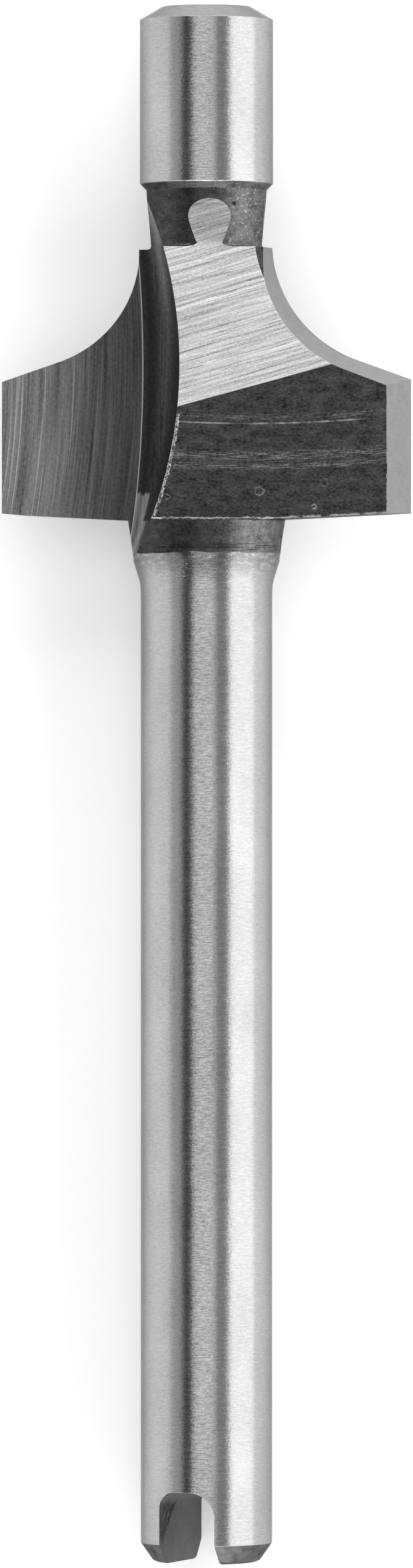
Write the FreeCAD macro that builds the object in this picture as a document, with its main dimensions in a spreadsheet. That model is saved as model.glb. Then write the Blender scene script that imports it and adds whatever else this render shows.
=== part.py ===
import FreeCAD, Part
import math
import os

import Sketcher
from FreeCAD import Placement, Rotation, Vector

# A corner rounding end mill, ground from one piece of steel. It is drawn upright in its own
# frame, with the shank's end at zero, the tool's axis on Z and the camera of the photograph
# far off on -Y. The last lines lay it down on the table. Lengths are in millimetres and
# angles in degrees.

NODE = "corner_rounding_end_mill"

SIZES = [
    ("shank_radius", 1.5875, "half of a 1/8 inch shank"),
    ("shank_length", 23.58, "shank end to the foot of the collar"),
    ("end_face_radius", 1.10, "flat of the shank's end"),
    ("end_round_radius", 0.35, "rounding between that flat and the chamfer"),
    ("end_round_width", 0.20, "that rounding, measured outwards"),
    ("end_round_height", 0.105, "that rounding, measured upwards"),
    ("end_chamfer_height", 0.473, "top of the chamfer above the shank end"),
    ("collar_cone_length", 0.68, "short cone between shank and collar"),
    ("collar_foot_radius", 1.81, "collar at its lower end"),
    ("collar_radius", 1.94, "collar under the head"),
    ("collar_length", 0.86, "collar between that cone and the head"),
    ("head_radius", 4.94, "cutting edges of the head, from the axis"),
    ("blank_stock", 0.15, "what the turned head had over the ground one"),
    ("head_height", 6.55, "back of the head to the ledge under the neck"),
    ("back_rise", 0.17, "how far the back of the head is dished at its rim"),
    ("right_ledge", 0.353, "neck to the foot of the right cutting curve"),
    ("right_curve_radius", 3.161, "right cutting curve"),
    ("right_curve_rise", 0.277, "its centre above the ledge"),
    ("left_ledge", 0.402, "neck to the foot of the left cutting curve"),
    ("left_curve_radius", 2.952, "left cutting curve"),
    ("left_curve_rise", 0.056, "its centre above the ledge"),
    ("lead_angle", 21.8, "straight end of both curves, off the level"),
    ("neck_root_radius", 1.37, "neck at the ledge"),
    ("neck_root_round", 0.08, "rounding between neck and ledge"),
    ("neck_radius", 1.453, "neck under the pilot"),
    ("neck_length", 1.41, "ledge to the foot of the pilot"),
    ("pilot_radius", 1.61, "pilot at the tip"),
    ("pilot_foot_height", 0.165, "chamfer between neck and pilot"),
    ("pilot_length", 4.42, "pilot with that chamfer and its tip"),
    ("tip_radius", 1.08, "flat of the pilot's tip"),
    ("tip_height", 0.31, "chamfer around that flat"),
    ("blade_depth", 1.50, "flat of a blade, from the axis"),
    ("flat_turn", 3.8, "how much that flat falls back to its edge"),
    ("flat_ledge", 0.02, "how far the flat is cut below the head"),
    ("facet_depth", 1.34, "upper facet of a blade at the ledge"),
    ("facet_turn", 3.12, "how much the facet falls back to its edge"),
    ("facet_slope", 2.47, "how much the facet leans out downwards"),
    ("facet_reach", 0.67, "end of the facet's plane, above the ledge"),
    ("facet_runout_radius", 1.0, "wheel mark where the facet leaves the neck"),
    ("rake_angle", 7.5, "how much a cutting face hooks under its edge"),
    ("web_half", 0.65, "axis to the gullet wall at its deepest"),
    ("gullet_radius", 10.44, "wheel that ground the gullet"),
    ("gullet_height", 3.72, "that wheel's centre above the back of the head"),
    ("gullet_floor_width", 0.89, "rounded floor of the gullet at its widest"),
    ("gullet_floor_bend", 1.12, "radius of that floor, as a share of its width"),
    ("gullet_span", 5.2, "where that floor runs out, up and down"),
    ("gullet_cut", 0.96, "share of that span that the loft covers"),
    ("curve_relief", 18.4, "clearance behind a cutting curve, inwards"),
    ("face_relief", 12.4, "clearance behind a cutting curve, downwards"),
    ("rim_relief", 26.3, "clearance behind the rim of the head"),
    ("slot_turn", 20.6, "turn of the shank's slot against the blades"),
    ("slot_half_width", 0.70, "half of the slot's width"),
    ("slot_offset", 0.03, "how far the slot is off the axis"),
    ("slot_depth", 1.744, "shank end to the top of the slot"),
    ("slot_left_round", 0.40, "rounding of the slot's left corner"),
    ("slot_right_round", 0.60, "rounding of the slot's right corner"),
    ("cut_reach", 8.0, "how far the cutting shapes reach past the part"),
    ("relief_lead", 0.30, "how far a relief cut starts in front of its edge"),
    ("relief_reach", 2.20, "how deep a relief cut goes"),
    ("relief_overcut", 0.20, "how far a relief cut goes below the head"),
]

os.makedirs("parts", exist_ok=True)
doc = FreeCAD.newDocument(NODE)
sheet = doc.addObject("Spreadsheet::Sheet", "dim")
for row, (alias, size, note) in enumerate(SIZES, start=1):
    sheet.set("A%d" % row, note)
    sheet.set("B%d" % row, "%g" % size)
    sheet.setAlias("B%d" % row, alias)
doc.recompute()

# Heights that several features share, as formulas on the sheet.
COLLAR_FOOT = "(dim.shank_length + dim.collar_cone_length)"
BACK = "(%s + dim.collar_length)" % COLLAR_FOOT
LEDGE = "(%s + dim.head_height)" % BACK
PILOT_FOOT = "(%s + dim.neck_length)" % LEDGE
TIP = "(%s + dim.pilot_length)" % PILOT_FOOT
GULLET = "(%s + dim.gullet_height)" % BACK


def measure(formula):
    """Return the present value of a formula on the sheet."""
    return float(sheet.evalExpression(formula))


def sketch_on(role, name, turn=None, shift=None):
    """Start a sketch on one of the body's origin planes.

    turn is a formula for its angle about the tool's axis, on the two upright planes, and
    shift one for its distance from the plane.
    """
    plane = next(item for item in body.Origin.OriginFeatures if item.Role == role)
    sketch = body.newObject("Sketcher::SketchObject", name)
    sketch.AttachmentSupport = (plane, [""])
    sketch.MapMode = "FlatFace"
    if turn:
        sketch.AttachmentOffset = Placement(Vector(), Rotation(Vector(0, 1, 0), measure(turn)))
        sketch.setExpression("AttachmentOffset.Rotation.Angle", turn)
    if shift:
        sketch.setExpression("AttachmentOffset.Base.z", shift)
    return sketch


def arc_between(start, end, radius, side):
    """Return the short arc between two points, with its centre to the left for side +1."""
    chord = end - start
    across = Vector(-chord.y, chord.x, 0).normalize()
    away = max(radius ** 2 - chord.Length ** 2 / 4, 0) ** 0.5
    centre = (start + end) / 2 + across * away * side
    first, last = (start, end) if side > 0 else (end, start)
    circle = Part.Circle(centre, Vector(0, 0, 1), radius)
    return Part.ArcOfCircle(circle, circle.parameter(first), circle.parameter(last))


def outline(sketch, corners, arcs):
    """Draw a closed loop through the corners and bind every one of them to the sheet.

    A corner is a pair of formulas. arcs gives the stretches that are round: the number of
    the corner that the stretch starts from, with a formula for its radius and its side.
    """
    spots = [Vector(measure(across), measure(up), 0) for across, up in corners]
    ends = []
    for number, start in enumerate(spots):
        end = spots[(number + 1) % len(spots)]
        if number in arcs:
            radius, side = arcs[number]
            sketch.addGeometry(arc_between(start, end, measure(radius), side), False)
            ends.append((1, 2) if side > 0 else (2, 1))
        else:
            sketch.addGeometry(Part.LineSegment(start, end), False)
            ends.append((1, 2))
    for number, (across, up) in enumerate(corners):
        following = (number + 1) % len(corners)
        begin = ends[number][0]
        joint = (number, ends[number][1], following, ends[following][0])
        sketch.addConstraint(Sketcher.Constraint("Coincident", *joint))
        for kind, formula in (("DistanceX", across), ("DistanceY", up)):
            rule = Sketcher.Constraint(kind, -1, 1, number, begin, measure(formula))
            index = sketch.addConstraint(rule)
            sketch.setExpression("Constraints[%d]" % index, formula)
        if number in arcs:
            radius = arcs[number][0]
            index = sketch.addConstraint(Sketcher.Constraint("Radius", number, measure(radius)))
            sketch.setExpression("Constraints[%d]" % index, radius)


def cut(kind, name, sketch):
    """Add a cutting feature that takes its shape from the sketch."""
    feature = body.newObject(kind, name)
    feature.Profile = sketch
    sketch.Visibility = False
    return feature


body = doc.addObject("PartDesign::Body", "tool")
body.Label = NODE

# The blank, turned in one go from the shank's end to the tip of the pilot. Its head has the
# form of the right cutting curve.
CURVE_X = "(dim.neck_root_radius + dim.right_ledge + dim.right_curve_radius)"
CURVE_Z = "(%s + dim.right_curve_rise)" % LEDGE
CURVE_TOP_X = "%s - sqrt(pow(dim.right_curve_radius; 2) - pow(dim.right_curve_rise; 2))" % CURVE_X
LEAD_X = "(%s - dim.right_curve_radius * sin(dim.lead_angle))" % CURVE_X
LEAD_Z = "(%s - dim.right_curve_radius * cos(dim.lead_angle))" % CURVE_Z
BLANK_RADIUS = "(dim.head_radius + dim.blank_stock)"
BLANK_RIM = "%s - (%s - %s) * tan(dim.lead_angle)" % (LEAD_Z, BLANK_RADIUS, LEAD_X)
END_ROUND_X = "dim.end_face_radius + dim.end_round_width"

blank_sketch = sketch_on("XZ_Plane", "blank_outline")
outline(blank_sketch, [
    ("0", "0"),
    ("dim.end_face_radius", "0"),
    (END_ROUND_X, "dim.end_round_height"),
    ("dim.shank_radius", "dim.end_chamfer_height"),
    ("dim.shank_radius", "dim.shank_length"),
    ("dim.collar_foot_radius", COLLAR_FOOT),
    ("dim.collar_radius", BACK),
    (BLANK_RADIUS, "%s + dim.back_rise" % BACK),
    (BLANK_RADIUS, BLANK_RIM),
    (LEAD_X, LEAD_Z),
    (CURVE_TOP_X, LEDGE),
    ("dim.neck_root_radius + dim.neck_root_round", LEDGE),
    ("dim.neck_root_radius", "%s + dim.neck_root_round" % LEDGE),
    ("dim.neck_radius", PILOT_FOOT),
    ("dim.pilot_radius", "%s + dim.pilot_foot_height" % PILOT_FOOT),
    ("dim.pilot_radius", "%s - dim.tip_height" % TIP),
    ("dim.tip_radius", TIP),
    ("0", TIP),
], {1: ("dim.end_round_radius", 1), 9: ("dim.right_curve_radius", -1), 11: ("dim.neck_root_round", -1)})
blank = body.newObject("PartDesign::Revolution", "blank")
blank.Profile = blank_sketch
blank.ReferenceAxis = (blank_sketch, ["V_Axis"])
blank.Angle = 360
blank_sketch.Visibility = False
doc.recompute()

# The flat of a blade, milled down to the back of the head.
FLAT_FALL = "dim.cut_reach * tan(dim.flat_turn)"
flat_sketch = sketch_on("XY_Plane", "flat_outline", shift="%s - dim.flat_ledge" % BACK)
outline(flat_sketch, [
    ("-dim.cut_reach", "-dim.blade_depth - %s" % FLAT_FALL),
    ("-dim.cut_reach", "-dim.blade_depth - dim.cut_reach"),
    ("dim.cut_reach", "-dim.blade_depth - dim.cut_reach"),
    ("dim.cut_reach", "-dim.blade_depth + %s" % FLAT_FALL),
], {})
flat = cut("PartDesign::Pocket", "flat", flat_sketch)
flat.Reversed = True
flat.setExpression("Length", "%s - %s + dim.facet_reach" % (LEDGE, BACK))

# The ground facet above it, which runs out on the neck.
FACET_TAN = "tan(dim.facet_slope)"
FACET_TOP = "(%s + dim.facet_reach)" % LEDGE
FACET_TOP_Y = "-(dim.facet_depth - dim.facet_reach * %s)" % FACET_TAN
FACET_FOOT_Y = "-(dim.facet_depth + dim.head_height * %s)" % FACET_TAN
facet_sketch = sketch_on("YZ_Plane", "facet_outline", turn="dim.facet_turn")
outline(facet_sketch, [
    (FACET_TOP_Y, FACET_TOP),
    ("%s - dim.facet_runout_radius" % FACET_TOP_Y, "%s + dim.facet_runout_radius" % FACET_TOP),
    ("-dim.cut_reach", "%s + dim.facet_runout_radius" % FACET_TOP),
    ("-dim.cut_reach", BACK),
    (FACET_FOOT_Y, BACK),
], {0: ("dim.facet_runout_radius", 1)})
facet = cut("PartDesign::Pocket", "facet", facet_sketch)
facet.SideType = "Symmetric"
facet.setExpression("Length", "2 * dim.cut_reach")

# One flute: the cutting face, the rounded floor of the gullet and its wall, drawn level at
# five heights. The wall follows the grinding wheel, and the floor narrows to nothing at both
# ends.
gullet_sketches = []
for number, share in enumerate((-1, -0.5, 0, 0.5, 1)):
    step = "(%g * dim.gullet_cut * dim.gullet_span)" % share
    wheel_half = "sqrt(pow(dim.gullet_radius; 2) - pow(%s; 2))" % step
    wall_x = "(%s - dim.web_half - dim.gullet_radius)" % wheel_half
    width = "(dim.gullet_floor_width * (1 - pow(%g * dim.gullet_cut; 2)))" % share
    floor_x = "(%s - %s)" % (wall_x, width)
    floor_y = "((%s + dim.head_radius) * tan(dim.rake_angle))" % floor_x
    bend = "(dim.gullet_floor_bend * %s)" % width
    wall_y = "(%s - sqrt(pow(%s; 2) - pow(%s - %s; 2)))" % (floor_y, bend, bend, width)
    outer_y = "(dim.head_radius - dim.cut_reach) * tan(dim.rake_angle)"
    level = sketch_on("XY_Plane", "flute_outline_%d" % number, shift="%s + %s" % (GULLET, step))
    outline(level, [
        ("-dim.cut_reach", outer_y),
        ("-dim.cut_reach", "-dim.cut_reach"),
        (wall_x, "-dim.cut_reach"),
        (wall_x, wall_y),
        (floor_x, floor_y),
    ], {3: (bend, 1)})
    level.Visibility = False
    gullet_sketches.append(level)
flute = cut("PartDesign::SubtractiveLoft", "flute", gullet_sketches[0])
flute.Sections = gullet_sketches[1:]

# The same three cuts make the other blade.
blades = body.newObject("PartDesign::PolarPattern", "both_blades")
blades.Originals = [flat, facet, flute]
axis = next(item for item in body.Origin.OriginFeatures if item.Role == "Z_Axis")
blades.Axis = (axis, [""])
blades.Angle = 360
blades.Occurrences = 2
body.Tip = blades


def relief(side, turn, depth_sign):
    """Grind the clearance behind one cutting curve and behind the rim next to it.

    The cut is ruled between two outlines of what is taken away. The first lies a little in
    front of the cutting edge and the second behind the blade.
    """
    curve = "dim.%s_curve_radius" % side
    outlines = []
    for end, depth in (("front", "-dim.relief_lead"), ("back", "dim.relief_reach")):
        inward = "%s * tan(dim.curve_relief)" % depth
        down = "%s * tan(dim.face_relief)" % depth
        foot_x = "(dim.neck_root_radius + dim.%s_ledge - %s)" % (side, inward)
        foot_z = "(%s + dim.%s_curve_rise - %s)" % (LEDGE, side, down)
        lead_x = "(%s + %s * (1 - sin(dim.lead_angle)))" % (foot_x, curve)
        lead_z = "(%s - %s * cos(dim.lead_angle))" % (foot_z, curve)
        rim_x = "(dim.head_radius - %s * tan(dim.rim_relief))" % depth
        rim_z = "%s - (%s - %s) * tan(dim.lead_angle)" % (lead_z, rim_x, lead_x)
        shift = "%d * %s" % (depth_sign, depth)
        sketch = sketch_on("XZ_Plane", "%s_relief_%s" % (side, end), turn=turn, shift=shift)
        outline(sketch, [
            (foot_x, foot_z),
            (lead_x, lead_z),
            (rim_x, rim_z),
            (rim_x, "%s - dim.relief_overcut" % BACK),
            ("dim.cut_reach", "%s - dim.relief_overcut" % BACK),
            ("dim.cut_reach", "%s + dim.neck_length" % LEDGE),
            (foot_x, "%s + dim.neck_length" % LEDGE),
        ], {0: (curve, 1)})
        sketch.Visibility = False
        outlines.append(sketch)
    ground = cut("PartDesign::SubtractiveLoft", "%s_relief" % side, outlines[0])
    ground.Sections = outlines[1:]
    ground.Ruled = True
    return ground


relief("right", "0", 1)
relief("left", "180", -1)

# The slot across the shank's end.
slot_sketch = sketch_on("XZ_Plane", "slot_outline", turn="-dim.slot_turn")
SLOT_LEFT = "(dim.slot_offset - dim.slot_half_width)"
SLOT_RIGHT = "(dim.slot_offset + dim.slot_half_width)"
outline(slot_sketch, [
    (SLOT_LEFT, "-dim.slot_depth"),
    (SLOT_RIGHT, "-dim.slot_depth"),
    (SLOT_RIGHT, "dim.slot_depth - dim.slot_right_round"),
    ("%s - dim.slot_right_round" % SLOT_RIGHT, "dim.slot_depth"),
    ("%s + dim.slot_left_round" % SLOT_LEFT, "dim.slot_depth"),
    (SLOT_LEFT, "dim.slot_depth - dim.slot_left_round"),
], {2: ("dim.slot_right_round", 1), 4: ("dim.slot_left_round", 1)})
slot = cut("PartDesign::Pocket", "slot", slot_sketch)
slot.SideType = "Symmetric"
slot.setExpression("Length", "4 * dim.shank_radius")
doc.recompute()

# The tool lies on its collar and on the edge of the shank's chamfer, with its tip along +Y
# and the side that the photograph shows on top. The frame's origin is under its middle.
rise = measure("dim.collar_radius - dim.shank_radius")
run = measure("%s - dim.end_chamfer_height" % BACK)
lift = math.degrees(math.atan2(rise, run))
body.Placement = Placement(Vector(), Rotation(Vector(1, 0, 0), lift - 90))
doc.recompute()
box = body.Shape.optimalBoundingBox(False, False)
middle = Vector(box.Center.x, box.Center.y, box.ZMin)
body.Placement = Placement(-middle, body.Placement.Rotation)
doc.recompute()

for item in doc.Objects:
    if "Invalid" in item.State or "Error" in item.State:
        raise RuntimeError("%s did not compute" % item.Name)
if body.Shape.isNull() or not body.Shape.isValid() or len(body.Shape.Solids) != 1:
    raise RuntimeError("the tool is not one valid solid")
body.Shape.exportStep("parts/%s.step" % NODE)
print("%s: volume %.2f, lift %.2f" % (NODE, body.Shape.Volume, lift), body.Shape.BoundBox)
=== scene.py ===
# %% [markdown]
# # A corner rounding end mill, cut and finished like the real one
# The real tool starts as a turned steel blank. Grinding wheels then cut its blades, and every
# wheel leaves a finish of its own. This lesson follows the same order: it turns a fine blank,
# makes one cutting shape for each wheel, gives each shape the finish that its wheel leaves, and
# takes the shapes away from the blank. The cut faces keep the finish of what cut them.

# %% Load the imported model
import math

import bmesh
import bpy
from mathutils import Matrix, Vector


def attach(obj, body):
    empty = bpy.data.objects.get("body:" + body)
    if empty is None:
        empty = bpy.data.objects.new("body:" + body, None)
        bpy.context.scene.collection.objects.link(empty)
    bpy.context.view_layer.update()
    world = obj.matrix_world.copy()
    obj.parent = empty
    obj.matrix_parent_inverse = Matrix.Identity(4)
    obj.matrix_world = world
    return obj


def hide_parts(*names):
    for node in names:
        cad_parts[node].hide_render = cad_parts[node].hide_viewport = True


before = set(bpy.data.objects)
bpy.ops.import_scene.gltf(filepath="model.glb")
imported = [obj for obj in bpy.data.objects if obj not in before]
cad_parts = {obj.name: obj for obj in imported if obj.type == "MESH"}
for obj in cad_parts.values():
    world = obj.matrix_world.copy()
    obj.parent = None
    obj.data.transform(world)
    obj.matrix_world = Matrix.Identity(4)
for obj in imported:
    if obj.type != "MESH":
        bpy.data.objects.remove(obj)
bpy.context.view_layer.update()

# %% [markdown]
# ## Sizes
# The tool is drawn upright and in millimetres: its axis is Z, its shank's end is at zero, and
# the side that the photograph shows faces -Y. These are the driving sizes of the CAD model.

# %% Heights along the tool
SHANK_END = 23.58
COLLAR_FOOT = SHANK_END + 0.68
BACK = COLLAR_FOOT + 0.86
HEAD_HEIGHT = 6.55
LEDGE = BACK + HEAD_HEIGHT
PILOT_FOOT = LEDGE + 1.41
PILOT_EDGE = PILOT_FOOT + 0.165
TIP = PILOT_FOOT + 4.42
END_CHAMFER = 0.473
TIP_CHAMFER = TIP - 0.31

# %% Radii of the tool
SHANK_RADIUS = 1.5875
COLLAR_RADIUS = 1.94
HEAD_RADIUS = 4.94
NECK_RADIUS = 1.37
PILOT_RADIUS = 1.61
BLANK_RADIUS = HEAD_RADIUS + 0.15
LEAD_ANGLE = math.radians(21.8)
print("the tool is %.2f mm long and %.2f mm across" % (TIP, 2 * HEAD_RADIUS))

# %% Both cutting curves: the ledge at the neck, the radius, and the centre above that ledge
RIGHT_CURVE = (0.353, 3.161, 0.277)
LEFT_CURVE = (0.402, 2.952, 0.056)

# %% How far cutting shapes reach, how round an edge looks, and what counts as a sharp one
REACH = 8.0
EDGE_ROUND = 0.015
SHARP_ANGLE = math.radians(16)
print("an edge is sharp from %.0f degrees" % math.degrees(SHARP_ANGLE))

# %% [markdown]
# ## Sums on shader sockets
# A shader tree is mostly arithmetic. This small class wraps a socket, so that a sum on wrapped
# sockets adds the Math nodes by itself. Every other node comes from one method, which takes the
# node's type, its settings and the values of its sockets.

# %% A wire is a socket that can be added and multiplied
class Wire:
    """One output of a shader node."""

    def __init__(self, finish, socket):
        self.finish = finish
        self.socket = socket

    def math(self, operation, *values):
        """Add a Math node and return its wire."""
        return self.finish.node("Math", {"operation": operation}, dict(enumerate(values)))

    def __add__(self, other):
        return self.math("ADD", self, other)

    def __radd__(self, other):
        return self.math("ADD", other, self)

    def __sub__(self, other):
        return self.math("SUBTRACT", self, other)

    def __rsub__(self, other):
        return self.math("SUBTRACT", other, self)

    def __mul__(self, other):
        return self.math("MULTIPLY", self, other)

    def __rmul__(self, other):
        return self.math("MULTIPLY", other, self)

    def __truediv__(self, other):
        return self.math("DIVIDE", self, other)

    def __pow__(self, other):
        return self.math("POWER", self, other)

    def __abs__(self):
        return self.math("ABSOLUTE", self)


# %% A finish is a material that is built up in steps
class Finish:
    """A material with a Principled shader, and methods that add nodes to it."""

    def __init__(self, name):
        self.material = bpy.data.materials.new(name)
        self.material.use_nodes = True
        self.tree = self.material.node_tree
        self.shader = self.tree.nodes["Principled BSDF"]

    def link(self, value, socket):
        """Feed a socket from a wire, or give it a plain value."""
        if isinstance(value, Wire):
            self.tree.links.new(value.socket, socket)
        else:
            socket.default_value = value

    def node(self, kind, settings, values, output=0):
        """Add a node: its settings first, then the value or wire of each socket."""
        made = self.tree.nodes.new("ShaderNode" + kind)
        for key, setting in settings.items():
            setattr(made, key, setting)
        for key, value in values.items():
            self.link(value, made.inputs[key])
        return Wire(self, made.outputs[output])

    def set(self, **sockets):
        """Give the shader's sockets their values or wires, as in set(Base_Color=...)."""
        for name, value in sockets.items():
            self.link(value, self.shader.inputs[name.replace("_", " ")])

    def vector(self, x, y, z):
        """Join three numbers or wires."""
        return self.node("CombineXYZ", {}, {0: x, 1: y, 2: z})

    def split(self, vector):
        """Return the three parts of a vector."""
        first = self.node("SeparateXYZ", {}, {0: vector})
        return [Wire(self, socket) for socket in first.socket.node.outputs]

    def spot(self):
        """Return millimetres across the tool, along its axis and out of its shown side."""
        where = self.node("TexCoord", {}, {}, "Object")
        values = {"Vector": where, "Location": offset, "Rotation": (-lift, 0, 0)}
        values["Scale"] = (1000, 1000, 1000)
        return self.split(self.node("Mapping", {"vector_type": "POINT"}, values))

    def grain(self, x, y, z, detail=2, rough=0.5):
        """Return noise about 0.5, with features of one unit."""
        values = {"Vector": self.vector(x, y, z), "Scale": 1.0}
        values.update({"Detail": detail, "Roughness": rough})
        return self.node("TexNoise", {"noise_dimensions": "3D"}, values)

    def step(self, value, low, high):
        """Go smoothly from 0 at low to 1 at high."""
        values = {"Value": value, "From Min": low, "From Max": high}
        values.update({"To Min": 0.0, "To Max": 1.0})
        return self.node("MapRange", {"interpolation_type": "SMOOTHSTEP"}, values)

    def band(self, value, middle, half, blur):
        """Return 1 within half of the middle, and 0 outside, with soft sides."""
        return 1 - self.step(abs(value - middle), half - blur, half + blur)

    def mix(self, share, first, second):
        """Go from the first number to the second as the share goes from 0 to 1."""
        return self.node("Mix", {"data_type": "FLOAT"}, {0: share, 2: first, 3: second})

    def bump(self, height, distance):
        """Raise the surface by a height wire; a height of 1 is the distance in millimetres."""
        round_edges = self.node("Bevel", {"samples": 4}, {"Radius": EDGE_ROUND / 1000})
        values = {"Height": height, "Distance": distance / 1000, "Strength": 1.0}
        values["Normal"] = round_edges
        return self.node("Bump", {}, values)

    def ring(self, x, y, centre, radius, half):
        """Return 1 on a thin ring about a centre."""
        away = ((x - centre[0]) ** 2 + (y - centre[1]) ** 2) ** 0.5
        return self.band(away, radius, half, half)

    def show(self):
        """Print how large the tree has become."""
        print(self.material.name, "has", len(self.tree.nodes), "nodes")


# %% [markdown]
# ## The finishes
# Each wheel leaves its own finish, so each gets a material. They are empty for now: the cutting
# shapes need them before it is known where the tool comes to rest.

# %% Seven empty finishes
turned = Finish("turned_steel")
oxide = Finish("black_oxide")
brushed = Finish("brushed_facet")
land = Finish("ground_land")
cutting = Finish("cutting_face")
gullet = Finish("dark_gullet")
slotted = Finish("slot_wall")


# %% [markdown]
# ## The blank
# On a lathe, the profile is one line and the bar turns under it. Here the profile is a list of
# radius and height, with its round stretches worked out by a small function, and the lathe is a
# loop that makes one ring of points for each of them.

# %% Points on an arc, in degrees
def arc(centre, radius, start, end, steps):
    """Return points on a circle, both ends included."""
    turns = [math.radians(start + (end - start) * step / steps) for step in range(steps + 1)]
    return [(centre[0] + radius * math.cos(t), centre[1] + radius * math.sin(t)) for t in turns]


# %% One cutting curve: a concave arc and its straight lead to the rim
def cutting_curve(foot, top, radius, rim, steps=34):
    """Return the curve from the neck down to the rim.

    foot is where the arc stands upright, as far out and as high as given.
    """
    centre = (foot + radius, top)
    points = arc(centre, radius, 180, 270 - math.degrees(LEAD_ANGLE), steps)
    out, height = points[-1]
    return points + [(rim, height - (rim - out) * math.tan(LEAD_ANGLE))]


# %% The shank: its rounded end and its chamfer
END_FACE = 1.10
END_ROUND = 0.35
profile = [(0, 0)]
profile += arc((END_FACE, END_ROUND), END_ROUND, -90, -55, 5)
profile += [(SHANK_RADIUS, END_CHAMFER), (SHANK_RADIUS, END_CHAMFER + 0.1)]

# %% The collar: a short cone whose two corners are softened by a few more points
profile += [(SHANK_RADIUS, SHANK_END - 0.35), (SHANK_RADIUS + 0.002, SHANK_END - 0.16)]
profile += [(SHANK_RADIUS + 0.018, SHANK_END + 0.02), (SHANK_RADIUS + 0.06, SHANK_END + 0.18)]
profile += [(1.75, COLLAR_FOOT - 0.18), (1.80, COLLAR_FOOT - 0.02)]
profile += [(1.828, COLLAR_FOOT + 0.12), (COLLAR_RADIUS, BACK)]

# %% The head, from its dished back to the ledge
BACK_RISE = 0.17
ledge, radius, rise = RIGHT_CURVE
RIGHT_FOOT = NECK_RADIUS + ledge
right_curve = cutting_curve(RIGHT_FOOT, LEDGE + rise, radius, BLANK_RADIUS)
profile += [(BLANK_RADIUS, BACK + BACK_RISE)]
profile += [point for point in reversed(right_curve) if point[1] < LEDGE]
profile += [(RIGHT_FOOT + 0.013, LEDGE)]

# %% The neck, with a small rounding at its root, and the pilot
NECK_ROUND = 0.08
NECK_TOP_RADIUS = 1.453
TIP_RADIUS = 1.08
profile += [(NECK_RADIUS + NECK_ROUND, LEDGE)]
profile += [(NECK_RADIUS + 0.023, LEDGE + 0.023), (NECK_RADIUS, LEDGE + NECK_ROUND)]
profile += [(NECK_TOP_RADIUS, PILOT_FOOT), (PILOT_RADIUS, PILOT_EDGE)]
profile += [(PILOT_RADIUS, TIP_CHAMFER), (TIP_RADIUS, TIP), (0, TIP)]
print("the profile has", len(profile), "points")


# %% The lathe
def lathe(name, points, sides, finish):
    """Turn a profile that starts and ends on the axis into a closed mesh."""
    shape = bmesh.new()
    rings = []
    for radius, height in points[1:-1]:
        ring = []
        for side in range(sides):
            angle = 2 * math.pi * side / sides
            ring.append(shape.verts.new((radius * math.cos(angle), radius * math.sin(angle), height)))
        rings.append(ring)
    for lower, upper in zip(rings, rings[1:]):
        for side in range(sides):
            after = (side + 1) % sides
            shape.faces.new((lower[side], lower[after], upper[after], upper[side]))
    shape.faces.new(list(reversed(rings[0])))
    shape.faces.new(rings[-1])
    return to_object(name, shape, [finish])


def to_object(name, shape, finishes):
    """Put a finished bmesh into the scene, with its finishes in the order of their numbers."""
    mesh = bpy.data.meshes.new(name)
    shape.to_mesh(mesh)
    shape.free()
    for finish in finishes:
        mesh.materials.append(finish.material)
    made = bpy.data.objects.new(name, mesh)
    bpy.context.scene.collection.objects.link(made)
    print(name, "has", len(mesh.polygons), "faces")
    return made


# %% [markdown]
# ## The cutting shapes
# Each wheel takes away a solid: the space that it sweeps. All of these solids can be lofted
# from flat outlines with the same number of corners, so one loft function makes every one of
# them. It also takes a number for each side of the outline, which picks the finish of the
# faces that this side makes.

# %% A loft between outlines
def loft(name, outlines, finishes, sides=None):
    """Skin a row of outlines of equal length and close both ends."""
    shape = bmesh.new()
    rings = [[shape.verts.new(corner) for corner in outline] for outline in outlines]
    count = len(outlines[0])
    for lower, upper in zip(rings, rings[1:]):
        for side in range(count):
            after = (side + 1) % count
            face = shape.faces.new((lower[side], lower[after], upper[after], upper[side]))
            face.material_index = sides[side] if sides else 0
    shape.faces.new(list(reversed(rings[0])))
    shape.faces.new(rings[-1])
    bmesh.ops.recalc_face_normals(shape, faces=shape.faces)
    return to_object(name, shape, finishes)


# %% The flat of a blade, a little below the back of the head and up over the ledge
FLAT_DEPTH = 1.5
FLAT_TURN = math.radians(3.8)
FLAT_LEDGE = 0.02
FACET_REACH = 0.67
fall = REACH * math.tan(FLAT_TURN)
flat_low = BACK - FLAT_LEDGE
flat_high = LEDGE + FACET_REACH - FLAT_LEDGE
flat_corners = [(-REACH, -FLAT_DEPTH - fall), (-REACH, -REACH)]
flat_corners += [(REACH, -REACH), (REACH, -FLAT_DEPTH + fall)]
flat = loft(
    "flat_cut",
    [[(x, y, height) for x, y in flat_corners] for height in (flat_low, flat_high)],
    [oxide],
)

# %% The facet above it, with the mark of the wheel where it leaves the neck
FACET_DEPTH = 1.34
FACET_TURN = math.radians(3.12)
FACET_SLOPE = math.radians(2.47)
FACET_WHEEL = 1.0
slope = math.tan(FACET_SLOPE)
facet_top = LEDGE + FACET_REACH
facet_y = -(FACET_DEPTH - FACET_REACH * slope)
facet_corners = [(-(FACET_DEPTH + HEAD_HEIGHT * slope), BACK)]
facet_corners += arc((facet_y - FACET_WHEEL, facet_top), FACET_WHEEL, 0, 90, 16)
facet_corners += [(-REACH, facet_top + FACET_WHEEL), (-REACH, BACK)]
facet = loft(
    "facet_cut",
    [[(x, y, height) for y, height in facet_corners] for x in (-REACH, REACH)],
    [brushed],
)
facet.data.transform(Matrix.Rotation(FACET_TURN, 4, "Z"))

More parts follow.
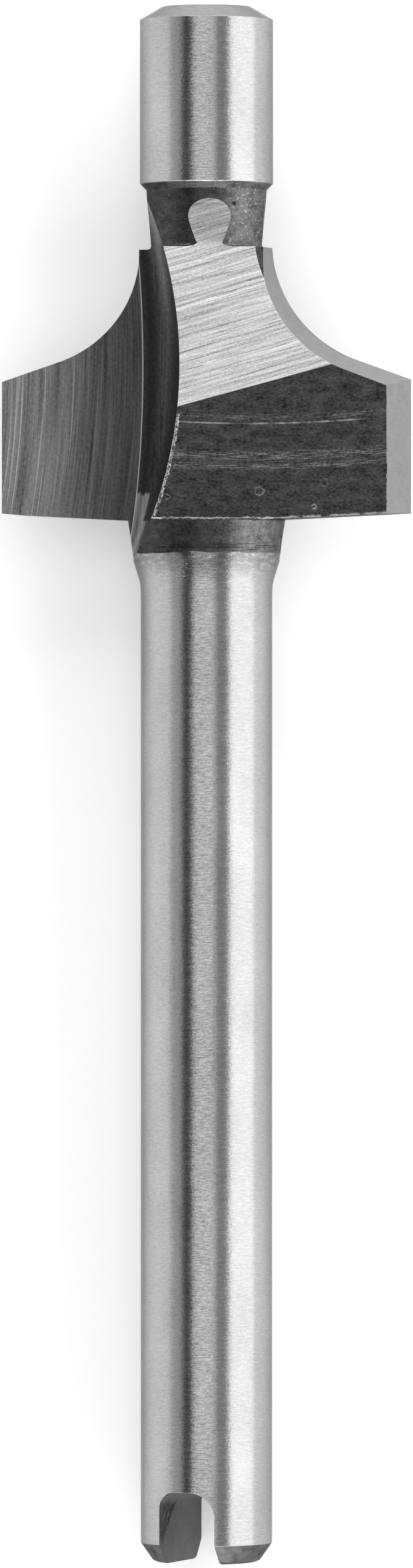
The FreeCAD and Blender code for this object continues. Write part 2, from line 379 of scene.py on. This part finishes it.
# %% [markdown]
# The flute has a rule: its wall follows the rim of the wheel, its rounded floor gets narrower
# towards both ends, and its cutting face is a plane that hooks under the cutting edge. So its
# outlines come from a function of the height.

# %% One outline of the flute
WHEEL = 10.44
WHEEL_HEIGHT = BACK + 3.72
WALL_AT_MIDDLE = 0.65
FLOOR_WIDTH = 0.89
FLOOR_SPAN = 5.2
FLOOR_BEND = 1.12
HOOK = math.tan(math.radians(7.5))
FLOOR_STEPS = 14


def flute_outline(height):
    """Return the outline of the flute at one height."""
    step = height - WHEEL_HEIGHT
    wall = math.sqrt(WHEEL ** 2 - step ** 2) - WALL_AT_MIDDLE - WHEEL
    width = FLOOR_WIDTH * (1 - (step / FLOOR_SPAN) ** 2)
    floor = wall - width
    depth = (floor + HEAD_RADIUS) * HOOK
    bend = FLOOR_BEND * width
    wall_depth = depth - math.sqrt(bend ** 2 - (bend - width) ** 2)
    last = math.degrees(math.atan2(depth - wall_depth, floor - wall + bend))
    corners = [(-REACH, (HEAD_RADIUS - REACH) * HOOK), (-REACH, -REACH), (wall, -REACH)]
    corners += arc((wall - bend, wall_depth), bend, 0, last, FLOOR_STEPS)
    return [(x, y, height) for x, y in corners]


# %% The flute: the last side of each outline is the cutting face, the others are the gullet
FLUTE_LEVELS = 40
reach = 0.96 * FLOOR_SPAN
levels = [WHEEL_HEIGHT - reach + 2 * reach * step / FLUTE_LEVELS for step in range(FLUTE_LEVELS + 1)]
flute_outlines = [flute_outline(height) for height in levels]
flute_sides = [1] * (3 + FLOOR_STEPS) + [0]
flute = loft("flute_cut", flute_outlines, [cutting, gullet], flute_sides)


# %% How the clearance falls away, for each millimetre behind the edge
CURVE_FALL = math.tan(math.radians(18.4))
FACE_FALL = math.tan(math.radians(12.4))
RIM_FALL = math.tan(math.radians(26.3))
RELIEF_DEPTHS = (-0.3, 2.2)
RELIEF_FOOT = BACK - 0.2


# %% The clearance behind a cutting curve
def relief(name, curve, half_turn):
    """Return the solid that is ground away behind one cutting curve and its rim."""
    ledge, radius, rise = curve
    outlines = []
    for depth in RELIEF_DEPTHS:
        foot = NECK_RADIUS + ledge - depth * CURVE_FALL
        top = LEDGE + rise - depth * FACE_FALL
        rim = HEAD_RADIUS - depth * RIM_FALL
        corners = cutting_curve(foot, top, radius, rim, 48)
        corners += [(rim, RELIEF_FOOT), (REACH, RELIEF_FOOT), (REACH, PILOT_FOOT), (foot, PILOT_FOOT)]
        outlines.append([(x, -depth, height) for x, height in corners])
    made = loft(name, outlines, [land])
    if half_turn:
        made.data.transform(Matrix.Rotation(math.pi, 4, "Z"))
    return made


right_relief = relief("right_relief_cut", RIGHT_CURVE, False)
left_relief = relief("left_relief_cut", LEFT_CURVE, True)

# %% The slot across the end of the shank
SLOT_LEFT = -0.67
SLOT_RIGHT = 0.73
SLOT_DEPTH = 1.744
SLOT_TURN = math.radians(-20.6)
LEFT_ROUND = 0.40
RIGHT_ROUND = 0.60
slot_corners = [(SLOT_LEFT, -SLOT_DEPTH), (SLOT_RIGHT, -SLOT_DEPTH)]
slot_corners += arc((SLOT_RIGHT - RIGHT_ROUND, SLOT_DEPTH - RIGHT_ROUND), RIGHT_ROUND, 0, 90, 12)
slot_corners += arc((SLOT_LEFT + LEFT_ROUND, SLOT_DEPTH - LEFT_ROUND), LEFT_ROUND, 90, 180, 10)
slot_outlines = [[(x, y, height) for x, height in slot_corners] for y in (-3, 3)]
slot = loft("slot_cut", slot_outlines, [slotted])
slot.data.transform(Matrix.Rotation(SLOT_TURN, 4, "Z"))


# %% [markdown]
# ## Two blades from one
# The same three cuts are made again after half a turn. Geometry Nodes repeat them: the tree
# copies what it gets around the axis, and its inputs say how many times.

# %% A tree that repeats a shape around the axis
def make_repeater():
    """Return a node group with inputs for the number of copies and for their finish."""
    tree = bpy.data.node_groups.new("repeat_around_axis", "GeometryNodeTree")
    face = tree.interface
    face.new_socket("Geometry", in_out="INPUT", socket_type="NodeSocketGeometry")
    copies = face.new_socket("Copies", in_out="INPUT", socket_type="NodeSocketInt")
    copies.default_value = 2
    face.new_socket("Finish", in_out="INPUT", socket_type="NodeSocketMaterial")
    face.new_socket("Geometry", in_out="OUTPUT", socket_type="NodeSocketGeometry")
    add = tree.nodes.new
    entry = add("NodeGroupInput")
    line = add("GeometryNodeMeshLine")
    place = add("GeometryNodeInstanceOnPoints")
    index = add("GeometryNodeInputIndex")
    share = add("ShaderNodeMath")
    angle = add("ShaderNodeMath")
    spin = add("ShaderNodeCombineXYZ")
    real = add("GeometryNodeRealizeInstances")
    paint = add("GeometryNodeSetMaterial")
    old = add("GeometryNodeInputMaterialIndex")
    compare = add("FunctionNodeCompare")
    leave = add("NodeGroupOutput")
    line.inputs["Offset"].default_value = (0, 0, 0)
    share.operation = "DIVIDE"
    angle.operation = "MULTIPLY"
    angle.inputs[1].default_value = 2 * math.pi
    compare.data_type = "INT"
    compare.operation = "EQUAL"
    links = [
        (entry.outputs["Copies"], line.inputs["Count"]),
        (line.outputs[0], place.inputs["Points"]),
        (entry.outputs["Geometry"], place.inputs["Instance"]),
        (index.outputs[0], share.inputs[0]),
        (entry.outputs["Copies"], share.inputs[1]),
        (share.outputs[0], angle.inputs[0]),
        (angle.outputs[0], spin.inputs["Z"]),
        (spin.outputs[0], place.inputs["Rotation"]),
        (place.outputs[0], real.inputs[0]),
        (real.outputs[0], paint.inputs["Geometry"]),
        (old.outputs[0], compare.inputs["A"]),
        (compare.outputs[0], paint.inputs["Selection"]),
        (entry.outputs["Finish"], paint.inputs["Material"]),
        (paint.outputs[0], leave.inputs[0]),
    ]
    for start, end in links:
        tree.links.new(start, end)
    return tree


repeater = make_repeater()


# %% Use the tree and keep the result as a plain mesh
def repeat(shape, finish, copies=2):
    """Replace a shape's mesh by copies of it around the axis."""
    modifier = shape.modifiers.new("repeat", "NODES")
    modifier.node_group = repeater
    sockets = [item for item in repeater.interface.items_tree if item.in_out == "INPUT"]
    inputs = {item.name: item.identifier for item in sockets}
    modifier[inputs["Copies"]] = copies
    modifier[inputs["Finish"]] = finish.material
    bake(shape)


def bake(shape):
    """Make an object's mesh what its modifiers give, and remove them."""
    graph = bpy.context.evaluated_depsgraph_get()
    mesh = bpy.data.meshes.new_from_object(shape.evaluated_get(graph))
    shape.modifiers.clear()
    shape.data = mesh


repeat(flat, oxide)
repeat(facet, brushed)
repeat(flute, cutting)
print("the flutes have", len(flute.data.polygons), "faces")

# %% [markdown]
# ## Grinding
# A Boolean modifier takes each cutting shape away from the blank. With its materials set to
# transfer, every cut face keeps the finish of the shape that cut it.

# %% Cut the tool from the blank
LATHE_SIDES = 192
tool = lathe("end_mill", profile, LATHE_SIDES, turned)
cuts = [flat, facet, flute, right_relief, left_relief, slot]
for shape in cuts:
    modifier = tool.modifiers.new(shape.name, "BOOLEAN")
    modifier.operation = "DIFFERENCE"
    modifier.solver = "EXACT"
    modifier.material_mode = "TRANSFER"
    modifier.object = shape
bake(tool)
for shape in cuts:
    bpy.data.objects.remove(shape)
print("the tool has", len(tool.data.polygons), "faces in", [m.name for m in tool.data.materials])

# %% [markdown]
# ## How the tool lies
# Nothing holds the tool up, so it lies on its collar and on the end of its shank, and its axis
# rises a little towards the tip. The tool is turned down and moved until the middle of its
# underside is at the origin, as in the CAD model. The place goes into the mesh.

# %% Lay it down
lift = math.atan2(COLLAR_RADIUS - SHANK_RADIUS, BACK - END_CHAMFER)
tip_way = Vector((0, math.cos(lift), math.sin(lift)))
side_up = Vector((0, -math.sin(lift), math.cos(lift)))
tool.data.transform(Matrix.Scale(0.001, 4) @ Matrix.Rotation(lift - math.pi / 2, 4, "X"))
spots = [vertex.co for vertex in tool.data.vertices]
low = Vector([min(spot[axis] for spot in spots) for axis in range(3)])
high = Vector([max(spot[axis] for spot in spots) for axis in range(3)])
shank_end = -Vector((low.x + high.x, low.y + high.y, 2 * low.z)) / 2
tool.data.transform(Matrix.Translation(shank_end))
offset = (0, -1000 * shank_end.dot(tip_way), -1000 * shank_end.dot(side_up))
print("the axis rises %.2f degrees" % math.degrees(lift))
print("the shank's end is at", [round(1000 * part, 3) for part in shank_end], "mm")

# %% Smooth faces, with sharp edges between finishes and where the surface turns
shape = bmesh.new()
shape.from_mesh(tool.data)
bmesh.ops.remove_doubles(shape, verts=shape.verts, dist=1e-7)
for face in shape.faces:
    face.smooth = True
for edge in shape.edges:
    finishes = {face.material_index for face in edge.link_faces}
    edge.smooth = len(finishes) == 1 and edge.calc_face_angle(math.pi) < SHARP_ANGLE
print(sum(len(edge.link_faces) != 2 for edge in shape.edges), "open edges")
shape.to_mesh(tool.data)
shape.free()

# %% Its place in the model
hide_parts("corner_rounding_end_mill")
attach(tool, "root")
print(tool.name, "stands for the CAD model's only part")


# %% [markdown]
# ## Turned steel and its oxide
# The shank and the pilot are bright steel with the fine rings that turning leaves. The collar and
# the neck kept a thin black oxide from the hardening. Each area could have a material of its
# own, but the borders follow heights along the tool and are ragged, so one tree that asks where
# it is on the tool is simpler and leaves no seam. The rings are noise that is stretched around
# the axis, because real turning marks aren't even. The oxide is painted lighter on one side of
# the collar and the neck, as painted light where the brightest lamp is mirrored.

# %% A pit in the oxide of the neck: its place across and along the tool
NECK_PIT = (0.65, 32.71)


# %% The blank's finish
def finish_turned(made):
    across, along, out = made.spot()
    streak = made.grain(across / 0.18, along / 0.028, out / 0.18, 3, 0.6)
    wave = made.grain(across / 1.0, along / 2.0, out / 1.0, 1)
    speck = made.grain(across / 0.05, along / 0.035, out / 0.05, 2)
    mottle = made.grain(across / 0.25, along / 0.2, out / 0.25, 3, 0.6)
    tide = made.grain(across / 0.8, along / 0.8, out / 0.8, 2)
    start = along + 0.15 * (tide - 0.5)
    coated = made.step(start, COLLAR_FOOT + 0.03, COLLAR_FOOT + 0.07)
    coated = coated - made.step(along, PILOT_EDGE - 0.03, PILOT_EDGE - 0.01)
    faced = made.step(along, TIP_CHAMFER, TIP_CHAMFER + 0.01)
    chamfered = 1 - made.step(along, END_CHAMFER - 0.01, END_CHAMFER)
    # Painted sheen: the steel's colour grain is stronger in the band where the overhead lamp is
    # mirrored.
    sheen_band_grain = made.mix(made.band(across, -0.13, 0.28, 0.10), 0.45, 1.2)
    steel = 0.41 + sheen_band_grain * (0.6 * (streak - 0.5) + 0.35 * (speck - 0.5)) + 0.12 * (wave - 0.5)
    stains = made.step(made.grain(across / 0.2, along / 0.1, out / 0.2), 0.2, 0.6)
    # Darker mottled stains on the collar's cone, deepened as painted shade that dims the cone's
    # reflection of the end lamp.
    stain_and_shade = made.step(start, COLLAR_FOOT - 0.75, COLLAR_FOOT) * stains
    neck = made.step(along, LEDGE - 0.05, LEDGE)
    steel = steel * (1 - 0.45 * stain_and_shade * (1 - neck))
    # Painted light: the oxide of the collar and the neck is lighter towards one side, where the
    # brightest lamp is mirrored.
    painted_lit_side = made.step(across, -0.2, 1.2)
    grooved = made.step(made.grain(across / 0.7, along / 0.025, out / 0.7, 3), 0.5, 0.62)
    grooved = grooved * made.band(start, COLLAR_FOOT + 0.17, 0.12, 0.05)
    collar = made.mix(painted_lit_side, 0.05, 0.14) * (1 - 0.6 * grooved)
    coat = made.mix(neck, collar, made.mix(painted_lit_side, 0.055, 0.13))
    head = made.band(along, (BACK + LEDGE) / 2, (LEDGE - BACK) / 2 + 0.02, 0.02)
    coat = made.mix(head, coat, 0.05)
    coat = coat * (1 + 1.8 * (mottle - 0.5) + 1.8 * (speck - 0.5))
    scratched = made.step(made.grain(across / 0.10, along / 0.06, out / 0.10, 2), 0.60, 0.68)
    # The neck's bright scratches are shown only on that painted lit side.
    coat = coat + 0.16 * neck * painted_lit_side * scratched
    pit = made.ring(across, along, NECK_PIT, 0.0, 0.04) * made.step(out, 0.0, 0.1)
    coat = coat * (1 - 0.9 * pit)
    level = made.mix(coated, steel, coat)
    level = made.mix(faced, level, 0.40 + 0.3 * (streak - 0.5))
    level = made.mix(chamfered, level, 0.11 + 0.22 * (mottle - 0.5))
    rough = made.mix(coated, 0.18 + 0.12 * (streak - 0.5), 0.38 + 0.2 * (speck - 0.5))
    rough = made.mix(chamfered, rough, 0.5)
    height = made.mix(coated, streak + 0.5 * speck + 2.5 * wave, 0.8 * speck + 1.5 * mottle - 4 * pit)
    made.set(Base_Color=level, Metallic=1.0, Roughness=rough, Normal=made.bump(height, 0.0045))
    made.set(Specular_Tint=(0.5, 0.5, 0.5, 1))


finish_turned(turned)
turned.show()


# %% [markdown]
# ## Black oxide
# The flat of a blade wasn't ground after the hardening, so it is nearly black. Its grain is
# noise of two sizes. The scratches and the small rings are few, and each has its place, which
# random noise can't give them. So each comes from the distance to a line or to a point. The
# wheels that cut next to the flat pushed up a bright, torn edge, and that edge follows the
# flute, whose place is worked out again here as wires.

# %% Where the wall and the floor of the flute are, as wires
def flute_lines(along):
    """Return how far from the axis the wall and the crease are at each height."""
    step = along - WHEEL_HEIGHT
    wall = WALL_AT_MIDDLE + WHEEL - (WHEEL ** 2 - step ** 2) ** 0.5
    width = FLOOR_WIDTH * (1 - (step / FLOOR_SPAN) ** 2)
    return wall, wall + width


# %% Where the flat ends at the rim, and how the back of the head rises outwards
RIM_EDGE = 4.335
DISH = 0.054


# %% Torn metal along the edges of the flat, and a painted highlight along its rim
def burrs_and_rim_highlight(made, right, along, out):
    """Return 1 on the burrs that the wheels left along the flat, and on a painted highlight along its
    rim.
    """
    wall = flute_lines(along)[0]
    torn = made.grain(right / 0.13, along / 0.13, 1.0, 5, 0.8)
    patchy = made.step(made.grain(right / 0.3, along / 0.3, 7.0, 2), 0.38, 0.5)
    left = right + wall + 0.2 * (torn - 0.5)
    gaps = made.step(made.grain(right / 0.06, along / 0.06, 4.0, 2), 0.40, 0.55)
    low = 1 - made.step(along, BACK + 2.45, BACK + 2.55)
    lines = made.band(left, 0.015, 0.010, 0.010) * (0.35 + 0.65 * gaps)
    lines = lines + patchy * gaps * made.band(left, 0.06, 0.02, 0.012)
    radius = (right ** 2 + out ** 2) ** 0.5
    past_collar = radius - COLLAR_RADIUS
    rise = made.node("Math", {"operation": "MAXIMUM"}, {0: past_collar, 1: 0.0}) * DISH
    bottom = along - BACK - rise + 0.16 * (torn - 0.5)
    foot = made.band(bottom, 0.020, 0.020, 0.014)
    foot = foot * made.mix(made.step(right, 1.5, 2.2), 0.5 + 0.5 * patchy, 0.6 * patchy)
    # A painted highlight on the edge of the flat at the rim.
    rim = made.band(right + 0.02 * (torn - 0.5), RIM_EDGE, 0.008, 0.006) * patchy
    return lines * low + foot + rim


# %% Marks on the flat
# The scratches are arcs about one far centre. Each band of them has its distance from there, its
# half width, its blur and its strength. A ring has its centre, radius, half width and strength.
SCRATCH_CENTRE = (1.0, 60.0)
SCRATCH = 32.585
SCRATCH_BANDS = ((33.37, 0.10, 0.08, 1.0), (33.62, 0.06, 0.05, 1.0), (32.44, 0.06, 0.05, 0.6))
FLAT_PIT = (-0.933, 25.655)
FLAT_RINGS = (
    ((1.262, 25.79), 0.10, 0.014, 1.0),
    ((2.59, 25.42), 0.05, 0.012, 1.0),
    ((2.82, 26.0), 0.09, 0.012, 0.4),
    (FLAT_PIT, 0.055, 0.012, 0.7),
)


# %% The flat's finish
def finish_oxide(made):
    across, along, out = made.spot()
    right = across * made.node("Math", {"operation": "SIGN"}, {0: out})
    grit = made.grain(right / 0.08, along / 0.05, 0.0, 3, 0.7)
    cloud = made.grain(right / 0.4, along / 0.22, 3.0, 2)
    turn = ((right - SCRATCH_CENTRE[0]) ** 2 + (SCRATCH_CENTRE[1] - along) ** 2) ** 0.5
    lines = made.grain(right / 0.5, turn / 0.022, 5.0, 2)
    scored = sum(made.band(turn, far, half, blur) * share for far, half, blur, share in SCRATCH_BANDS)
    ends = made.step(abs(right - 1.5), 2.6, 1.9)
    faint = made.step(made.grain(right / 0.25, along, 9.0), 0.1, 0.75)
    main = made.band(turn, SCRATCH, 0.013, 0.012) * faint * ends
    bent = right + 0.12 * (made.grain(right / 0.09, along / 0.09, 2.0, 1) - 0.5)
    rings = sum(made.ring(bent, along, *ring[:3]) * ring[3] for ring in FLAT_RINGS)
    pit = made.ring(right, along, FLAT_PIT, 0.0, 0.035)
    marks = scored * made.step(lines, 0.45, 0.62)
    marks = marks * made.mix(made.step(grit, 0.35, 0.65), 0.06, 0.22)
    marks = marks + 0.17 * main + 0.10 * rings * made.step(grit, 0.35, 0.5)
    torn = burrs_and_rim_highlight(made, right, along, out)
    level = 0.056 * (1 + 3.4 * (grit - 0.5) + 1.9 * (cloud - 0.5)) + marks - 0.04 * pit
    # The burrs are bare steel, and the rim's line is a painted highlight.
    level = made.mix(torn, level, 0.5)
    height = grit + 3 * torn + 1.5 * rings - 2 * pit - main
    made.set(Base_Color=level, Metallic=1.0, Roughness=0.42, Normal=made.bump(height, 0.012))


finish_oxide(oxide)
oxide.show()


# %% [markdown]
# ## Brushed facet
# The brightest face is the facet that a wheel ground across each blade. A wheel leaves straight
# lines side by side, here 16.5 degrees off the level. An image could hold them, but noise that
# is long in one direction and thin in the other does the same at any size. Three of them are
# added: wide bands, fine lines and a few deep scratches.

# %% How far the facet's lines are off the level
LINES_TURN = math.radians(16.5)


# %% The facet's finish
def finish_brushed(made):
    across, along, out = made.spot()
    right = across * made.node("Math", {"operation": "SIGN"}, {0: out})
    cross = along * math.cos(LINES_TURN) - right * math.sin(LINES_TURN)
    with_it = right * math.cos(LINES_TURN) + along * math.sin(LINES_TURN)
    wide = made.grain(with_it / 9, cross / 0.11, 0.0, 2)
    fine = made.grain(with_it / 1.3, cross / 0.028, 4.0, 3, 0.6)
    deep = made.step(made.grain(with_it / 1.4, cross / 0.024, 8.0, 1), 0.60, 0.70)
    grit = made.grain(right / 0.06, along / 0.05, 2.0, 2, 0.6)
    level = 0.62 + 1.0 * (wide - 0.5) + 1.2 * (fine - 0.5) - 0.34 * deep + 0.6 * (grit - 0.5)
    level = level * made.mix(made.step(along, LEDGE - 0.05, LEDGE + 0.3), 1.0, 0.62)
    height = fine - 0.8 * deep
    made.set(Base_Color=level, Metallic=1.0, Roughness=0.33, Normal=made.bump(height, 0.003))


finish_brushed(brushed)
brushed.show()


# %% [markdown]
# ## Ground land
# The clearance behind each cutting edge was ground last, with a fine wheel, so it is an even
# grey with hardly any lines. It needs the least: a little noise in the colour and less in the
# height.

# %% The land's finish
def finish_land(made):
    across, along, out = made.spot()
    fine = made.grain(across / 0.3, along / 0.02, out / 0.3, 2)
    cloud = made.grain(across / 0.3, along / 0.3, out / 0.3, 2)
    level = 0.245 + 0.12 * (fine - 0.5) + 0.08 * (cloud - 0.5)
    level = level * made.mix(made.step(along, LEDGE - 1.8, LEDGE), 1.0, 0.82)
    made.set(Base_Color=level, Metallic=1.0, Roughness=0.34, Normal=made.bump(fine, 0.0015))


finish_land(land)
land.show()


# %% [markdown]
# ## Cutting face
# The side of the wheel swept past this face, so its marks are arcs about the wheel's centre.
# The distance from that centre goes into the noise instead of a coordinate, which bends the
# lines without any other work. The face is painted darker towards the crease, as painted shade
# where the gullet's wall hides the lamps, and its bright lines fade with it.

# %% The centre of the wheel that swept the cutting face, outwards and along the tool
SWEEP_CENTRE = (28.94, 29.2)


# %% A painted highlight: a bright line on the crease between the cutting face and the gullet
def crease_highlight(made, away, crease):
    """Return 1 on the crease, where a highlight is painted."""
    return made.band(away - crease, 0.0, 0.013, 0.009)


# %% The cutting face's finish
def finish_cutting(made):
    across, along, out = made.spot()
    away = abs(across)
    crease = flute_lines(along)[1]
    turn = ((SWEEP_CENTRE[0] - away) ** 2 + (along - SWEEP_CENTRE[1]) ** 2) ** 0.5
    wide = made.grain(turn / 0.22, along / 6, 0.0, 2)
    fine = made.grain(turn / 0.035, along / 2.5, 4.0, 3, 0.6)
    bright = made.step(made.grain(turn / 0.07, along / 8, 8.0, 1), 0.60, 0.72)
    grit = made.grain(across / 0.07, along / 0.09, 1.0, 2, 0.6)
    # Painted shade: the face darkens from the rim in towards the crease.
    painted_light_outwards = made.step(away, 1.9, 4.7)
    level = (0.075 + 0.14 * painted_light_outwards) * (1 + 1.5 * (wide - 0.5) + 1.9 * (fine - 0.5) + 1.0 * (grit - 0.5))
    level = level + 0.2 * painted_light_outwards * bright
    # The crease gets a painted highlight.
    level = made.mix(crease_highlight(made, away, crease), level, 0.4)
    made.set(Base_Color=level, Metallic=1.0, Roughness=0.33, Normal=made.bump(fine, 0.002))


finish_cutting(cutting)
cutting.show()


# %% [markdown]
# ## Gullet
# The floor of the flute is dark and its wall is a little lighter. Both belong to one curved
# surface with no edge between them, so the finish works out how far across the flute a point
# is, and fades from one to the other. Next to the back of the head is a bright patch, where the
# wheel ran out.

# %% The gullet's finish
def finish_gullet(made):
    across, along, out = made.spot()
    away = abs(across)
    wall, crease = flute_lines(along)
    share = (crease - away) / (crease - wall)
    grit = made.grain(across / 0.08, along / 0.08, out / 0.08, 3, 0.6)
    lines = made.grain(across / 0.04, along / 1.5, out / 0.04, 2)
    walled = made.step(share, 0.38, 0.46)
    steep = made.step(share, 0.55, 1.0)
    low = made.step(along, BACK + 3.6, BACK + 1.0)
    level = made.mix(walled, 0.040, 0.05 + 0.12 * steep - 0.018 * low) * (1 + 1.2 * (grit - 0.5))
    level = level + 0.08 * walled * (lines - 0.5)
    torn = along + 0.35 * (made.grain(across / 0.1, 0.0, out / 0.3, 2) - 0.5)
    cleared = (1 - made.step(torn, BACK + 0.62, BACK + 0.7)) * (1 - made.step(share, 0.5, 0.6))
    cleared = made.mix(made.step(along, BACK - 0.02, BACK), 1.0, cleared)
    level = made.mix(cleared, level, 0.24 + 0.3 * (lines - 0.5))
    # The crease gets a painted highlight.
    level = made.mix(crease_highlight(made, away, crease), level, 0.4)
    made.set(Base_Color=level, Metallic=1.0, Roughness=0.36, Normal=made.bump(grit, 0.006))


finish_gullet(gullet)
gullet.show()


# %% [markdown]
# ## Slot
# The slot in the shank's end was milled roughly and not cleaned. Its walls are dark and cloudy,
# with a torn hollow near the end of the shank, so noise with a sharp step in it marks the
# hollow and the bump presses it in.

# %% The slot's finish
def finish_slot(made):
    across, along, out = made.spot()
    grit = made.grain(across / 0.1, along / 0.1, out / 0.1, 3, 0.6)
    cloud = made.grain(across / 0.4, along / 0.4, out / 0.4, 2)
    gouge = made.step(made.grain(across / 0.16, along / 0.24, out / 0.16, 3, 0.6), 0.40, 0.52)
    deep = out + 0.95 * (along - 0.45)
    gouge = gouge * made.band(along, 1.0, 0.5, 0.1) * made.step(deep, 0.95, 1.25)
    level = 0.085 + 0.05 * (grit - 0.5) + 0.06 * (cloud - 0.5) - 0.06 * gouge
    made.set(Base_Color=level, Metallic=1.0, Roughness=0.45, Normal=made.bump(grit - 3 * gouge, 0.01))


finish_slot(slotted)
slotted.show()

# %% [markdown]
# ## Floor
# The tool lies on a pale table. One large square is enough, because the camera sees only what
# is around the tool. It gives off a little light of its own, as paper over a light box does,
# which keeps the shadow soft and the ground close to white.

# %% Floor
FLOOR_HALF = 2.0
floor_signs = ((-1, -1), (1, -1), (1, 1), (-1, 1))
floor_corners = [(x * FLOOR_HALF, y * FLOOR_HALF, 0) for x, y in floor_signs]
mesh = bpy.data.meshes.new("floor")
mesh.from_pydata(floor_corners, [], [(0, 1, 2, 3)])
floor = bpy.data.objects.new("floor", mesh)
bpy.context.scene.collection.objects.link(floor)
pale = Finish("pale_floor")
pale.set(Base_Color=(0.9, 0.9, 0.9, 1), Roughness=0.7)
pale.set(Emission_Color=(1, 1, 1, 1), Emission_Strength=0.2)
mesh.materials.append(pale.material)
print("the floor is", 1000 * floor.dimensions.x, "mm wide")

# %% [markdown]
# ## Camera
# The photograph shows the tool with its tip up and hardly any perspective, so it was taken from
# far off with a long lens. The camera looks straight down on the tool's shown side, and its
# three directions are the tool's own, so the picture stands upright although the tool lies.

# %% Camera: the middle of the picture along the tool, the distance and the height it shows
MIDDLE = 18.76
DISTANCE = 279.0
FRAME_HEIGHT = 37.83
SENSOR = 36
target = shank_end + tip_way * MIDDLE / 1000
data = bpy.data.cameras.new("camera")
data.sensor_width = SENSOR
data.lens = SENSOR * DISTANCE / FRAME_HEIGHT
camera = bpy.data.objects.new("camera", data)
bpy.context.scene.collection.objects.link(camera)
facing = Matrix((tip_way.cross(side_up), tip_way, side_up)).transposed()
camera.matrix_world = Matrix.Translation(target + side_up * DISTANCE / 1000) @ facing.to_4x4()
data.clip_start = 0.01
data.clip_end = 10
bpy.context.scene.camera = camera
print("the lens is %.0f mm" % data.lens)

# %% [markdown]
# ## Light
# Bare metal shows hardly any colour of its own: what is seen on it are the lamps and the dark
# between them. The round shank shows five stripes along its length, so there are five long
# lamps along the tool, each between two angles from straight up, and the dark stripe is the gap
# between two of them. Two more lamps at the ends light the faces that look up or down the
# tool.

# %% The dark room, and colours shown as they are
world = bpy.data.worlds.new("studio")
bpy.context.scene.world = world
world.use_nodes = True
world.node_tree.nodes["Background"].inputs[0].default_value = (0.07, 0.07, 0.07, 1)
bpy.context.scene.view_settings.view_transform = "Standard"

# %% How far off the lamps hang, in metres, and how long the strips are
LAMP_DISTANCE = 0.4
STRIP_LENGTH = 0.66


# %% One lamp
def softbox(name, turn, size, radiance):
    """Hang a soft light at a turn from straight up, facing the tool.

    radiance says how bright its face looks, so its power grows with its area.
    """
    light = bpy.data.lights.new(name, "AREA")
    light.shape = "RECTANGLE"
    light.size, light.size_y = size
    light.energy = math.pi * size[0] * size[1] * radiance
    lamp = bpy.data.objects.new(name, light)
    lamp.matrix_world = turn @ Matrix.Translation((0, 0, LAMP_DISTANCE))
    bpy.context.scene.collection.objects.link(lamp)


def strip(name, start, end, radiance):
    """Hang a long light along the tool, between two angles from straight up."""
    middle = math.radians((start + end) / 2)
    width = 2 * LAMP_DISTANCE * math.tan(math.radians((end - start) / 2))
    softbox(name, Matrix.Rotation(middle, 4, "Y"), (width, STRIP_LENGTH), radiance)


# %% All the lamps
END_TILT = math.radians(72)
END_SIZE = (0.7, 0.2)
END_RADIANCE = 4.5
strip("left_low", -90, -66, 1.12)
strip("left_high", -66, -44, 0.56)
strip("overhead", -24, 16, 1.0)
strip("between", 17, 39, 0.30)
strip("right", 40, 90, 2.05)
softbox("far_end", Matrix.Rotation(-END_TILT, 4, "X"), END_SIZE, END_RADIANCE)
softbox("near_end", Matrix.Rotation(END_TILT, 4, "X"), END_SIZE, END_RADIANCE)
print("there are", len(bpy.data.lights), "lamps")
